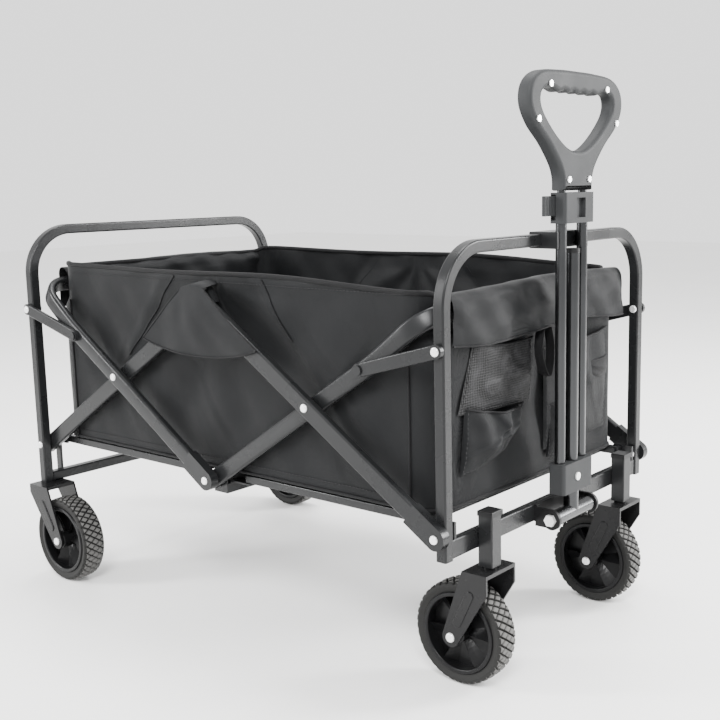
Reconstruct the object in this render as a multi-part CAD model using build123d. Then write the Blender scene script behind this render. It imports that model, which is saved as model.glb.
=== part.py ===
from build123d import *
import math
import os

# Folding camp wagon, open for use. Millimetres, +X to the front (handle), +Z up,
# origin on the floor midway between the front and rear wheel extremes.

# ---- overall sizes ----
WHEEL_R = 70.0
TYRE_W = 38.0
REAR_X = -437.5
FRONT_X = 402.5
MID_X = (REAR_X + FRONT_X) / 2
POST = 16.0
BEND_R = 72.0
REAR_TOP_Z = 590.0
FRONT_TOP_Z = 582.0
REAR_FOOT_Z = 158.0
FRONT_FOOT_Z = 190.0

# ---- layers across the width, from the inner face to the outer face ----
OUTER_BAR = (256.0, 268.0)
INNER_BAR = (239.7, 251.7)
REAR_POST_Y = (252.0, 268.0)
FRONT_POST_Y = (239.7, 255.7)
REAR_LINK_Y = (268.4, 274.4)
FRONT_LINK_Y = (256.1, 262.1)

# ---- scissor linkage ----
PIVOT_Z = 223.0
LOWER_ARM = 255.0
UPPER_ARM = 244.0
BAR_W = 25.0
TILT = math.acos((MID_X - REAR_X) / (LOWER_ARM + UPPER_ARM))
CROSS_Z = PIVOT_Z + LOWER_ARM * math.sin(TILT)
CROSS_DX = LOWER_ARM * math.cos(TILT)
TOP_PIVOT_Z = PIVOT_Z + (LOWER_ARM + UPPER_ARM) * math.sin(TILT)
HUB_Z = CROSS_Z - UPPER_ARM * math.sin(TILT)
LINK_POST_Z = 453.2
LINK_BAR_DX = 123.8
LINK_BAR_Z = CROSS_Z + (CROSS_DX - LINK_BAR_DX) * math.tan(TILT)
LINK_W = 18.0
RAIL_DX = 24.0
RAIL_Z = 493.0
RAIL_R = 5.7
RAIL_BEND_R = 40.0
NECK_DX = 74.0
PIN_R = 4.0
FIT = 0.05
SLEEVE_START = 22.0

# ---- centre hub ----
HUB_LUG_Y = (236.6, 239.2)

# ---- basket ----
BASKET_DX = 22.0
BASKET_Y = 236.0
BASKET_Z = (238.0, 526.0)
CLOTH = 2.5
WALL_TOP_Z = 474.0
ROLL_TOP_Z = 518.0
SLEEVE_Y = 214.0
SIDE_END_DX = 48.0

# ---- floor ----
FLOOR_HINGE_DX = 20.0
FLOOR_Z = 230.0
FLOOR_BAR = 12.0
FLOOR_BAR_Y = 225.0
FLOOR_GAP = 45.5

# ---- wheels and casters ----
REAR_AXLE_X = REAR_X + 58.0
REAR_WHEEL_Y = 260.0
FRONT_AXLE_X = FRONT_X - 23.0
FRONT_WHEEL_Y = 175.0
SOCKET_X = FRONT_X + 17.0
SOCKET = 22.0
FORK_T = 3.0
FORK_IN = 23.5
CASTER_FORK_IN = 30.0
FORK_TOP_FRONT = 164.0

# ---- handle ----
HANDLE_X = FRONT_X + 31.0
HANDLE_PIVOT_Z = 197.0
TEE_R = 11.0
TEE_HALF = 48.0
SIDE_TUBE_Y = 27.0
SIDE_TUBE_R = 7.5
CENTRE_TUBE_X = HANDLE_X + 2.0
COLLAR_Z = (596.0, 636.0)
BRACKET_Z = (229.0, 271.0)


def span(x, y, z):
    """Box between the two limits given for each axis."""
    size = Box(x[1] - x[0], y[1] - y[0], z[1] - z[0])
    return Pos((x[0] + x[1]) / 2, (y[0] + y[1]) / 2, (z[0] + z[1]) / 2) * size


def rod_y(x, z, y0, y1, radius):
    """Cylinder along Y."""
    return Pos(x, (y0 + y1) / 2, z) * Rot(90, 0, 0) * Cylinder(radius, abs(y1 - y0))


def rod_z(x, y, z0, z1, radius):
    """Cylinder along Z."""
    return Pos(x, y, (z0 + z1) / 2) * Cylinder(radius, z1 - z0)


def rivet(x, z, y0, y1, radius=PIN_R, head=5.8, dome=2.4):
    """Rivet along Y with a domed head beyond each end of its shank."""
    lo, hi = min(y0, y1), max(y0, y1)
    body = rod_y(x, z, lo, hi, radius)
    for y, way in ((lo, -1), (hi, 1)):
        cap = rod_y(x, z, y, y + way * dome, head)
        rim = cap.edges().sort_by(Axis.Y)[0 if way < 0 else -1]
        body += fillet(rim, dome * 0.8)
    return body


def flat_bar(p, q, layer, side, width=BAR_W, past=(0.0, 0.0)):
    """Flat tube from p to q (both X, Z) in a layer, run on past each end."""
    dx, dz = q[0] - p[0], q[1] - p[1]
    length = math.hypot(dx, dz)
    bar = Box(length + past[0] + past[1], layer[1] - layer[0], width)
    bar = fillet(bar.edges().filter_by(Axis.X), min(3.0, 0.3 * (layer[1] - layer[0])))
    bar = Pos((length + past[1] - past[0]) / 2, 0, 0) * bar
    turn = -math.degrees(math.atan2(dz, dx))
    return Pos(p[0], side * (layer[0] + layer[1]) / 2, p[1]) * Rot(0, turn, 0) * bar


def end_sleeve(p, q, layer, side):
    """Moulded end over the lower tip of an outer bar, with a rounded pivot lobe at p."""
    dx, dz = q[0] - p[0], q[1] - p[1]
    turn = -math.degrees(math.atan2(dz, dx))
    y0, y1 = layer[0], layer[1] + 1.2
    lobe = Cylinder(14.5, y1 - y0)
    block = Pos(24, 0, 0) * Box(48, 29, y1 - y0)
    shape = Rot(90, 0, 0) * (lobe + block)
    shape = Pos(p[0], side * (y0 + y1) / 2, p[1]) * Rot(0, turn, 0) * shape
    return shape


def mirror_pair(make):
    """Left and right copies of a shape built by make(side)."""
    return [make(-1), make(1)]


def bent_frame(x, post_y, foot_z, top_z):
    """Inverted U of square tube standing at x."""
    y = (post_y[0] + post_y[1]) / 2
    top = top_z - POST / 2
    path = FilletPolyline((x, -y, foot_z), (x, -y, top), (x, y, top), (x, y, foot_z), radius=BEND_R)
    section = Plane(origin=(x, -y, foot_z), z_dir=(0, 0, 1)) * RectangleRounded(POST, POST, 2.5)
    return sweep(section, path=path)


def rail_frame(end_x, way):
    """Two scissor bars joined across the top by a bent round rail; way is +1 when the hub is ahead."""
    layer = OUTER_BAR if way > 0 else INNER_BAR
    y = (layer[0] + layer[1]) / 2
    rail_x = end_x + way * RAIL_DX
    neck = (end_x + way * NECK_DX, CROSS_Z + (CROSS_DX - NECK_DX) * math.tan(TILT))
    hub = (MID_X, HUB_Z)
    corners = [(neck[0], -y, neck[1]), (rail_x, -y, RAIL_Z), (rail_x, y, RAIL_Z), (neck[0], y, neck[1])]
    path = FilletPolyline(*corners, radius=RAIL_BEND_R)
    start = Vector(*corners[0])
    mouth = Plane(origin=start, z_dir=Vector(*corners[1]) - start)
    frame = sweep(mouth * Circle(RAIL_R), path=path)
    inset = SLEEVE_START if way > 0 else 0.0
    for side in (-1, 1):
        frame += flat_bar(neck, hub, layer, side, past=(7.0, -inset))
    return frame


def cut_holes(shape, points, layer, radius):
    """Bore pin holes through both side bars of a frame or through one bar."""
    for x, z in points:
        for side in (-1, 1):
            a, b = side * (layer[0] - 3), side * (layer[1] + 3)
            shape -= rod_y(x, z, a, b, radius)
    return shape


def save(name, *shapes):
    """Write one node; several shapes become separate solids of that node."""
    solids = []
    for shape in shapes:
        solids.extend(shape.solids())
    export_step(Compound(children=solids), f"parts/{name}.step")


# ---- end frames ----
def build_rear_frame():
    frame = bent_frame(REAR_X, REAR_POST_Y, REAR_FOOT_Z, REAR_TOP_Z)
    frame = cut_holes(frame, [(REAR_X, PIVOT_Z), (REAR_X, LINK_POST_Z)], REAR_POST_Y, PIN_R)
    save("rear_frame_tube", frame)
    half = REAR_POST_Y[0]
    x = (REAR_X - POST / 2, REAR_X + POST / 2)
    bar = span(x, (-half, half), (REAR_FOOT_Z, REAR_FOOT_Z + POST))
    save("rear_crossbar", fillet(bar.edges().filter_by(Axis.Y), 2.5))
    save("rear_forks", *mirror_pair(rear_fork))
    axles = mirror_pair(lambda s: wheel_axle(REAR_AXLE_X, s * REAR_WHEEL_Y))
    save("rear_axles", *axles)
    save("rear_floor_brackets", *mirror_pair(lambda s: floor_bracket(REAR_X, 1, s, REAR_FOOT_Z + POST)))
    pins = mirror_pair(lambda s: rivet(REAR_X, PIVOT_Z, s * (INNER_BAR[0] - 0.3), s * REAR_POST_Y[1]))
    pins += mirror_pair(lambda s: rivet(REAR_X, LINK_POST_Z, s * REAR_POST_Y[0], s * (REAR_LINK_Y[1] + 0.3)))
    save("rear_frame_rivets", *pins)


def fork_arm(top_x, axle_x, y0, y1, top_z, skirt):
    """Side plate of a wheel fork, tapering from the top plate to a round end at the axle."""
    foot = Pos(axle_x, WHEEL_R) * Circle(13.0)
    head = Pos((top_x[0] + top_x[1]) / 2, top_z - skirt / 2) * Rectangle(top_x[1] - top_x[0], skirt)
    plate = make_hull(foot.edges() + head.edges())
    arm = extrude(Plane.XZ * plate, amount=y1 - y0)
    return Pos(0, y1, 0) * arm


def pressed_rib(top_x, axle_x, y, way, top_z):
    """Raised rib down the outer face of a fork arm."""
    top = ((top_x[0] + top_x[1]) / 2, top_z - 16)
    dx, dz = axle_x - top[0], WHEEL_R - top[1]
    length = math.hypot(dx, dz)
    rib = extrude(SlotCenterToCenter(length - 42, 13), amount=1.6)
    rib = fillet(rib.faces().sort_by(Axis.Z)[-1].edges(), 1.3)
    middle = 0.5 - 4 / length
    rib = Rot(90 * way, 0, 0) * Rot(0, 0, way * math.degrees(math.atan2(dz, dx))) * rib
    return Pos(top[0] + dx * middle, y, top[1] + dz * middle) * rib


def fork(centre_y, top_x, axle_x, top_z, inner=FORK_IN, skirt=14.0):
    """Pressed fork: top plate and two ribbed arms."""
    half = inner + FORK_T
    top = span(top_x, (centre_y - half, centre_y + half), (top_z - 5.0, top_z))
    top = fillet(top.edges().filter_by(Axis.X).sort_by(Axis.Z)[-2:], 2.5)
    for y0 in (centre_y - half, centre_y + inner):
        top += fork_arm(top_x, axle_x, y0, y0 + FORK_T, top_z, skirt)
    for way in (-1, 1):
        top += pressed_rib(top_x, axle_x, centre_y + way * half, -way, top_z)
    for y0 in (centre_y - half, centre_y + inner):
        top -= rod_y(axle_x, WHEEL_R, y0 - 1, y0 + FORK_T + 1, PIN_R)
    return top


def rear_fork(side):
    return fork(side * REAR_WHEEL_Y, (REAR_X - 11.5, REAR_X + 38), REAR_AXLE_X, REAR_FOOT_Z)


def wheel_axle(x, y, inner=FORK_IN):
    half = inner + FORK_T
    return rivet(x, WHEEL_R, y - half, y + half, PIN_R, 6.4, 3.0)


def floor_bracket(end_x, way, side, bar_top):
    """Lug standing on a crossbar, with the stub that carries the floor frame."""
    lug_y = sorted((side * (FLOOR_BAR_Y + 6.3), side * (FLOOR_BAR_Y + 10.4)))
    foot_x = sorted((end_x - way * 6, end_x + way * 6))
    arm_x = sorted((end_x - way * 6, end_x + way * (FLOOR_HINGE_DX + 7)))
    lug = span(foot_x, lug_y, (bar_top, FLOOR_Z)) + span(arm_x, lug_y, (FLOOR_Z - 7, FLOOR_Z + 7))
    return lug + rod_y(end_x + way * FLOOR_HINGE_DX, FLOOR_Z, lug_y[0], side * (FLOOR_BAR_Y - 10), PIN_R)


def build_front_frame():
    frame = bent_frame(FRONT_X, FRONT_POST_Y, FRONT_FOOT_Z, FRONT_TOP_Z)
    frame = cut_holes(frame, [(FRONT_X, PIVOT_Z), (FRONT_X, LINK_POST_Z)], FRONT_POST_Y, PIN_R)
    save("front_frame_tube", frame)
    half = FRONT_POST_Y[0]
    bar = span((FRONT_X - 6, FRONT_X + 6), (-half, half), (FRONT_FOOT_Z + 0.5, FRONT_FOOT_Z + 25.5))
    save("front_crossbar", fillet(bar.edges().filter_by(Axis.Y), 2.5))
    sockets, caps = [], []
    for side in (-1, 1):
        y = side * FRONT_WHEEL_Y
        x = (SOCKET_X - SOCKET / 2, SOCKET_X + SOCKET / 2)
        tube = span(x, (y - SOCKET / 2, y + SOCKET / 2), (167.0, 234.0))
        tube = fillet(tube.edges().filter_by(Axis.Z), 2.0)
        sockets.append(tube - rod_z(SOCKET_X, y, 160, 201, 6.0 + FIT))
        w = SOCKET / 2 + 1.2
        cap = span((SOCKET_X - SOCKET / 2, SOCKET_X + w), (y - w, y + w), (234.0, 241.0))
        caps.append(fillet(cap.edges().group_by(Axis.Z)[-1], 1.5))
    save("caster_sockets", *sockets)
    save("caster_socket_caps", *caps)
    save("front_floor_brackets", *mirror_pair(lambda s: floor_bracket(FRONT_X, -1, s, FRONT_FOOT_Z + 25.5)))
    pins = mirror_pair(lambda s: rivet(FRONT_X, PIVOT_Z, s * FRONT_POST_Y[0], s * (OUTER_BAR[1] + 1.5)))
    pins += mirror_pair(lambda s: rivet(FRONT_X, LINK_POST_Z, s * FRONT_POST_Y[0], s * (FRONT_LINK_Y[1] + 0.3)))
    save("front_frame_rivets", *pins)
    build_yoke()
    build_rail_clip()


def build_yoke():
    back = FRONT_X + 6.0
    plate = span((back, back + 4), (-TEE_HALF - 5, TEE_HALF + 5), (FRONT_FOOT_Z + 1, FRONT_FOOT_Z + 25))
    for side in (-1, 1):
        y = sorted((side * (TEE_HALF + 0.3), side * (TEE_HALF + 5)))
        cheek = span((back + 2, HANDLE_X + 2), y, (HANDLE_PIVOT_Z - 12, HANDLE_PIVOT_Z + 14))
        plate += cheek + rod_y(HANDLE_X + 2, HANDLE_PIVOT_Z, y[0], y[1], 14.0)
    plate -= rod_y(HANDLE_X + 2, HANDLE_PIVOT_Z, -80, 80, 5.0)
    save("handle_yoke", plate)
    bolt = rod_y(HANDLE_X + 2, HANDLE_PIVOT_Z, -TEE_HALF - 5, TEE_HALF + 5, 5.0)
    for side in (-1, 1):
        y = side * (TEE_HALF + 7.5)
        nut = Pos(HANDLE_X + 2, y, HANDLE_PIVOT_Z) * Rot(90, 0, 0) * extrude(RegularPolygon(8.5, 6), 2.5, both=True)
        bolt += nut
    save("handle_pivot_bolt", bolt)


def build_rail_clip():
    rail_z = (FRONT_TOP_Z - POST, FRONT_TOP_Z)
    reach = SIDE_TUBE_Y + SIDE_TUBE_R
    clip = span((FRONT_X - 11, FRONT_X + 19), (-reach - 5, reach + 5), (rail_z[0] - 3, rail_z[1] + 3))
    clip -= span((FRONT_X - 8, FRONT_X + 8), (-90, 90), rail_z)
    for side in (-1, 1):
        y = sorted((side * (reach + 0.5), side * (reach + 5)))
        clip += span((FRONT_X + 18, FRONT_X + 33), y, (rail_z[0] - 3, rail_z[1] + 3))
    clip = fillet(clip.edges().filter_by(Axis.Y).group_by(Axis.X)[0], 2.0)
    save("rail_clip", clip)


# ---- scissor bars ----
def build_scissors():
    front_foot = (FRONT_X, PIVOT_Z)
    rear_foot = (REAR_X, PIVOT_Z)
    top = (MID_X, TOP_PIVOT_Z)
    front_cross = (FRONT_X - CROSS_DX, CROSS_Z)
    rear_cross = (REAR_X + CROSS_DX, CROSS_Z)
    run = PIN_R + FIT

    def front_bar(side):
        bar = flat_bar(front_foot, top, OUTER_BAR, side, past=(-SLEEVE_START, 12.0))
        return cut_holes(bar, [front_cross, top], OUTER_BAR, PIN_R)

    def rear_bar(side):
        bar = flat_bar(rear_foot, top, INNER_BAR, side, past=(12.0, 12.0))
        bar = cut_holes(bar, [rear_foot, top], INNER_BAR, run)
        return cut_holes(bar, [rear_cross], INNER_BAR, PIN_R)

    save("long_bars_front", *mirror_pair(front_bar))
    save("long_bars_rear", *mirror_pair(rear_bar))
    hub = (MID_X, HUB_Z)
    outer = rail_frame(REAR_X, 1)
    outer = cut_holes(outer, [rear_cross], OUTER_BAR, run)
    save("rail_bar_rear", outer)
    inner = rail_frame(FRONT_X, -1)
    inner = cut_holes(inner, [front_cross, hub], INNER_BAR, run)
    save("rail_bar_front", inner)

    def sleeve(foot, toward, side, radius):
        shape = end_sleeve(foot, toward, OUTER_BAR, side)
        shape -= flat_bar(foot, toward, OUTER_BAR, side, past=(-SLEEVE_START, 40.0))
        return cut_holes(shape, [foot], OUTER_BAR, radius)

    save("front_foot_sleeves", *mirror_pair(lambda s: sleeve(front_foot, top, s, run)))
    save("hub_sleeves", *mirror_pair(lambda s: sleeve(hub, rear_cross, s, PIN_R)))
    pins = mirror_pair(lambda s: rivet(*front_cross, s * INNER_BAR[0], s * OUTER_BAR[1]))
    pins += mirror_pair(lambda s: rivet(*top, s * INNER_BAR[0], s * OUTER_BAR[1], head=6.0, dome=1.6))
    save("front_bar_rivets", *pins)
    pins = mirror_pair(lambda s: rivet(*rear_cross, s * INNER_BAR[0], s * OUTER_BAR[1]))
    save("rear_cross_rivets", *pins)
    pins = mirror_pair(lambda s: rivet(*hub, s * (HUB_LUG_Y[0] - 0.1), s * (OUTER_BAR[1] + 1.2)))
    save("hub_rivets", *pins)


def build_links():
    rear_end = (REAR_X + LINK_BAR_DX, LINK_BAR_Z)
    front_end = (FRONT_X - LINK_BAR_DX, LINK_BAR_Z)

    def link(post_x, end, layer, side):
        bar = flat_bar((post_x, LINK_POST_Z), end, layer, side, LINK_W)
        for x, z in ((post_x, LINK_POST_Z), end):
            bar += rod_y(x, z, side * layer[0], side * layer[1], LINK_W / 2)
        bar = cut_holes(bar, [(post_x, LINK_POST_Z)], layer, PIN_R + FIT)
        return bar + rod_y(*end, side * layer[1], side * (layer[1] + 2.4), 6.5)

    save("rear_links", *mirror_pair(lambda s: link(REAR_X, rear_end, REAR_LINK_Y, s)))
    save("front_links", *mirror_pair(lambda s: link(FRONT_X, front_end, FRONT_LINK_Y, s)))


def build_hub_beam():
    half = 54.0
    beam = span((MID_X - half, MID_X + half), (-232, 232), (221.2, 223.7))
    beam += span((MID_X - 14, MID_X + 14), (-232, 232), (205.0, 222.0))
    for side in (-1, 1):
        web_y = sorted((side * 229.0, side * HUB_LUG_Y[1]))
        beam += span((MID_X - 14, MID_X + 14), web_y, (205.0, 219.0))
        lug_y = sorted((side * HUB_LUG_Y[0], side * HUB_LUG_Y[1]))
        beam += span((MID_X - 13, MID_X + 13), lug_y, (206.0, HUB_Z + 8))
    beam = cut_holes(beam, [(MID_X, HUB_Z)], HUB_LUG_Y, PIN_R + FIT)
    save("hub_beam", beam)
    strip = span((MID_X - 34, MID_X + 34), (-215, 215), (223.7, 237.2))
    save("hub_beam_pad", strip)


def floor_half(end_x, way):
    """Welded half of the floor support: two long bars and cross slats."""
    start = end_x + way * (FLOOR_HINGE_DX - 8)
    stop = MID_X - way * FLOOR_GAP
    x = sorted((start, stop))
    z = (FLOOR_Z - FLOOR_BAR / 2, FLOOR_Z + FLOOR_BAR / 2)
    frame = None
    for side in (-1, 1):
        y = side * FLOOR_BAR_Y
        bar = span(x, (y - FLOOR_BAR / 2, y + FLOOR_BAR / 2), z)
        bar = fillet(bar.edges().filter_by(Axis.X), 2.0)
        frame = bar if frame is None else frame + bar
    slats = 5
    for i in range(slats):
        at = start + way * (34 + i * (abs(stop - start) - 44) / (slats - 1))
        frame += span((at - 10, at + 10), (-FLOOR_BAR_Y, FLOOR_BAR_Y), (FLOOR_Z - 2, FLOOR_Z + 4))
    return cut_holes(frame, [(end_x + way * FLOOR_HINGE_DX, FLOOR_Z)], (219.0, 231.0), PIN_R + FIT)


# ---- wheels ----
def wheel_hub(x, y):
    barrel = rod_y(x, WHEEL_R, y - 21, y + 21, 12.0)
    rim = rod_y(x, WHEEL_R, y - 17, y + 17, 55.0) - rod_y(x, WHEEL_R, y - 30, y + 30, 49.0)
    hub = barrel + rim
    for i in range(6):
        blade = Pos(31, 0, 0) * Rot(24, 0, 0) * Box(42, 5, 24)
        blade = Rot(0, i * 60 + 15, 0) * blade
        blade = Pos(x, y, WHEEL_R) * blade
        hub += blade & rod_y(x, WHEEL_R, y - 17, y + 17, 52.0)
    hub += rod_y(x, WHEEL_R, y - 1.5, y + 1.5, 49.0) - rod_y(x, WHEEL_R, y - 3, y + 3, 9.0)
    return hub - rod_y(x, WHEEL_R, y - 30, y + 30, PIN_R + FIT)


def tyre(x, y):
    half = TYRE_W / 2
    ring = rod_y(x, WHEEL_R, y - half, y + half, WHEEL_R)
    ring = fillet(ring.edges(), 7.0)
    return ring - rod_y(x, WHEEL_R, y - 30, y + 30, 55.0)


def build_wheels():
    places = {
        "rear_right": (REAR_AXLE_X, -REAR_WHEEL_Y),
        "rear_left": (REAR_AXLE_X, REAR_WHEEL_Y),
        "front_right": (FRONT_AXLE_X, -FRONT_WHEEL_Y),
        "front_left": (FRONT_AXLE_X, FRONT_WHEEL_Y),
    }
    for name, (x, y) in places.items():
        save(f"wheel_hub_{name}", wheel_hub(x, y))
        save(f"tyre_{name}", tyre(x, y))


def build_casters():
    for side, name in ((-1, "right"), (1, "left")):
        y = side * FRONT_WHEEL_Y
        top_x = (SOCKET_X - 21, SOCKET_X + 17)
        shape = fork(y, top_x, FRONT_AXLE_X, FORK_TOP_FRONT, CASTER_FORK_IN, 26.0)
        shape += rod_z(SOCKET_X, y, FORK_TOP_FRONT - 1, FORK_TOP_FRONT + 2.6, 9.5)
        shape += rod_z(SOCKET_X, y, FORK_TOP_FRONT - 1, 200.0, 6.0)
        save(f"caster_fork_{name}", shape)
        save(f"caster_axle_{name}", wheel_axle(FRONT_AXLE_X, y, CASTER_FORK_IN))


# ---- handle ----
def build_handle():
    x = CENTRE_TUBE_X
    tee = rod_y(x, HANDLE_PIVOT_Z, -TEE_HALF, TEE_HALF, TEE_R)
    tee += rod_z(x, 0, HANDLE_PIVOT_Z, BRACKET_Z[0] + 4, 10.5)
    tee += rod_z(x, 0, BRACKET_Z[0], 556.0, 9.0)
    tee -= rod_y(x, HANDLE_PIVOT_Z, -80, 80, 5.0 + FIT)
    save("handle_stem", tee)
    save("handle_stem_cap", rod_z(x, 0, 556.0, 562.0, 9.6))
    tubes, rods = [], []
    for side in (-1, 1):
        y = side * SIDE_TUBE_Y
        tube = rod_z(HANDLE_X, y, BRACKET_Z[0] + 6, COLLAR_Z[0] + 10, SIDE_TUBE_R)
        tubes.append(tube - rod_z(HANDLE_X, y, BRACKET_Z[0] + 14, 700, 5.8))
        rods.append(rod_z(HANDLE_X, y, 300.0, COLLAR_Z[1] + 30, 5.74))
    save("handle_side_tubes", *tubes)
    save("handle_inner_rods", *rods)
    reach = SIDE_TUBE_Y + SIDE_TUBE_R + 4
    block = span((HANDLE_X - 12, HANDLE_X + 14), (-reach, reach), BRACKET_Z)
    block = fillet(block.edges().filter_by(Axis.Z), 5.0)
    for side in (-1, 1):
        block -= rod_z(HANDLE_X, side * SIDE_TUBE_Y, BRACKET_Z[0] + 6, 300, SIDE_TUBE_R)
    block -= rod_z(x, 0, BRACKET_Z[0] - 1, BRACKET_Z[0] + 4, 10.5)
    block -= rod_z(x, 0, BRACKET_Z[0] - 1, 300, 9.0)
    save("handle_bracket", block)
    head = Pos(HANDLE_X + 14, -4, 250) * Rot(0, 90, 0) * Cylinder(5.5, 2.0, align=(Align.CENTER, Align.CENTER, Align.MIN))
    save("handle_bracket_rivet", head)
    build_collar()
    build_grip()


def build_collar():
    reach = SIDE_TUBE_Y + SIDE_TUBE_R + 3.5
    block = span((HANDLE_X - 12, HANDLE_X + 13), (-reach, reach), COLLAR_Z)
    block = fillet(block.edges().filter_by(Axis.Z), 5.0)
    for side in (-1, 1):
        block -= rod_z(HANDLE_X, side * SIDE_TUBE_Y, COLLAR_Z[0] - 1, COLLAR_Z[0] + 10, SIDE_TUBE_R)
        block -= rod_z(HANDLE_X, side * SIDE_TUBE_Y, COLLAR_Z[0], COLLAR_Z[1] + 1, 5.8)
    block -= span((HANDLE_X + 7, HANDLE_X + 20), (-9, 14), (603, 629))
    slot = span((HANDLE_X - 9, HANDLE_X - 2), (-reach - 5, -SIDE_TUBE_Y - 6.3), (600, 633.5))
    save("handle_collar", block - slot)
    lever = span((HANDLE_X - 8, HANDLE_X - 3), (-reach - 24, -SIDE_TUBE_Y - 7.5), (606, 632))
    lever = fillet(lever.edges().filter_by(Axis.Y), 1.0)
    for i in range(5):
        y = -reach - 21 + i * 4
        lever += span((HANDLE_X - 3.5, HANDLE_X - 2.3), (y - 0.8, y + 0.8), (608, 630))
    save("handle_lever", lever)


def build_grip():
    z0 = COLLAR_Z[1] + 1.5
    right = [(38, z0), (38, 655), (46, 672), (72, 697), (102, 722), (118, 747), (112, 773), (88, 789), (42, 792)]
    with_left = right + [(-y, z) for y, z in reversed(right)]
    outline = Polyline(right[0], right[1]) + Spline(*with_left[1:-1])
    outline += Polyline(with_left[-2], with_left[-1], right[0])
    hole_right = [(10, 692), (32, 698), (58, 714), (81, 735), (88, 752), (68, 766), (30, 764)]
    hole = Spline(*(hole_right + [(-y, z) for y, z in reversed(hole_right)]), periodic=True)
    face = make_face(outline) - make_face(hole)
    body = extrude(Plane.YZ * face, amount=11.0, both=True)
    body = Pos(HANDLE_X, 0, 0) * body
    for side in (-1, 1):
        body -= rod_z(HANDLE_X, side * SIDE_TUBE_Y, z0 - 1, COLLAR_Z[1] + 30, 5.74)
    save("grip", body)
    heads = []
    for y, z in ((72, 772), (100, 728), (26, 653)):
        for side in (-1, 1):
            head = Cylinder(4.2, 1.6, align=(Align.CENTER, Align.CENTER, Align.MIN))
            heads.append(Pos(HANDLE_X + 11, side * y, z) * Rot(0, 90, 0) * head)
    save("grip_screws", *heads)


# ---- fabric ----
def build_basket():
    x = (REAR_X + BASKET_DX, FRONT_X - BASKET_DX)
    shell = span(x, (-BASKET_Y, BASKET_Y), BASKET_Z)
    shell = fillet(shell.edges().filter_by(Axis.Z), 14.0)
    hollow = span((x[0] + CLOTH, x[1] - CLOTH), (-BASKET_Y + CLOTH, BASKET_Y - CLOTH), (BASKET_Z[0] + CLOTH, 600))
    shell -= fillet(hollow.edges().filter_by(Axis.Z), 11.5)
    notch = 300.0
    shell -= span((REAR_X - 10, REAR_X + SIDE_END_DX), (-notch, notch), (WALL_TOP_Z, 600))
    shell -= span((FRONT_X - SIDE_END_DX, FRONT_X + 10), (-notch, notch), (WALL_TOP_Z, 600))
    save("basket_shell", shell)
    for end_x, way, name in ((REAR_X, 1, "rear"), (FRONT_X, -1, "front")):
        rail_x = end_x + way * RAIL_DX
        sleeve = roll(rail_x, SLEEVE_Y, 12.0) - roll(rail_x, SLEEVE_Y + 10, 9.0)
        flap_x = sorted((rail_x - way * 12.0, rail_x - way * 9.2))
        sleeve += span(flap_x, (-SLEEVE_Y, SLEEVE_Y), (455.0, RAIL_Z))
        save(f"rail_sleeve_{name}", sleeve)
    save("hinge_caps", *mirror_pair(hinge_cap))
    wall = FRONT_X - BASKET_DX
    mesh = span((wall, wall + 5), (-192, -38), (362, 444))
    save("mesh_pocket", fillet(mesh.edges().filter_by(Axis.X), 8.0))
    low = span((wall, wall + 12), (-192, -40), (282, 361))
    save("flap_pocket", fillet(low.edges().filter_by(Axis.X), 10.0))
    pocket = span((wall, wall + 9), (12, 186), (272, 440))
    save("side_pocket", fillet(pocket.edges().filter_by(Axis.X), 10.0))
    loop = span((wall, wall + 2.4), (-12, 10), (384, 454))
    save("pull_strap", loop)


def roll(x, half, radius):
    """Rolled cloth over a cross rail, taller than it is wide."""
    low, high = rod_y(x, RAIL_Z, -half, half, radius), rod_y(x, ROLL_TOP_Z - 12.0, -half, half, radius)
    return low + high + span((x - radius, x + radius), (-half, half), (RAIL_Z, ROLL_TOP_Z - 12.0))


def hinge_cap(side):
    """Sewn cover over the top pivot, open below, joined to the wall along its top."""
    points = [(-8, 516), (-14, 508), (-118, 430), (-98, 424), (-30, 416), (0, 414), (30, 416), (98, 424), (122, 427)]
    points += [(16, 508), (8, 516)]
    outline = Polyline(*[(MID_X + x, z) for x, z in points], close=True)
    face = extrude(Plane.XZ * make_face(outline), amount=2.5)
    outer = Pos(0, 273.0, 0) * face
    if side < 0:
        outer = Pos(0, -270.5, 0) * face
    y = sorted((side * BASKET_Y, side * 272.0))
    return outer + span((MID_X - 14, MID_X + 14), y, (510.0, 512.5))


os.makedirs("parts", exist_ok=True)
build_rear_frame()
build_front_frame()
build_scissors()
build_links()
build_hub_beam()
save("floor_frame_rear", floor_half(REAR_X, 1))
save("floor_frame_front", floor_half(FRONT_X, -1))
build_wheels()
build_casters()
build_handle()
build_basket()
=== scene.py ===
import math

import bpy
import numpy as np
from mathutils import Matrix, Vector


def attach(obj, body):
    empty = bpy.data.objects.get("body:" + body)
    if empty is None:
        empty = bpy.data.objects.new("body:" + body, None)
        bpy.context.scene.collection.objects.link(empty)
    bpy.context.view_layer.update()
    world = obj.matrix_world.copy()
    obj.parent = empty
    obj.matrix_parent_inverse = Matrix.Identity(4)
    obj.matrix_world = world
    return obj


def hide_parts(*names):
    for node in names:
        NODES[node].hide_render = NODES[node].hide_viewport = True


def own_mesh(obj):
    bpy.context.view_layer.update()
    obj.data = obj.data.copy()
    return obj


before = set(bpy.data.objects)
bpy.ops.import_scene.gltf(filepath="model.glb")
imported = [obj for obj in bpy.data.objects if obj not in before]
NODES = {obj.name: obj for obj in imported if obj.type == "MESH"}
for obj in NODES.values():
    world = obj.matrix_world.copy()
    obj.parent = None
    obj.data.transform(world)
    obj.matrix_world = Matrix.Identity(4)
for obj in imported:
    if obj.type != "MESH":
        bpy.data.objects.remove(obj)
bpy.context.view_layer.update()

# ---- positions in metres: +X to the handle, +Z up ----
REAR_X = -0.4375
FRONT_X = 0.4025
MID_X = (REAR_X + FRONT_X) / 2
BAR_RUN, BAR_LENGTH = 0.420, 0.499
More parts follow.
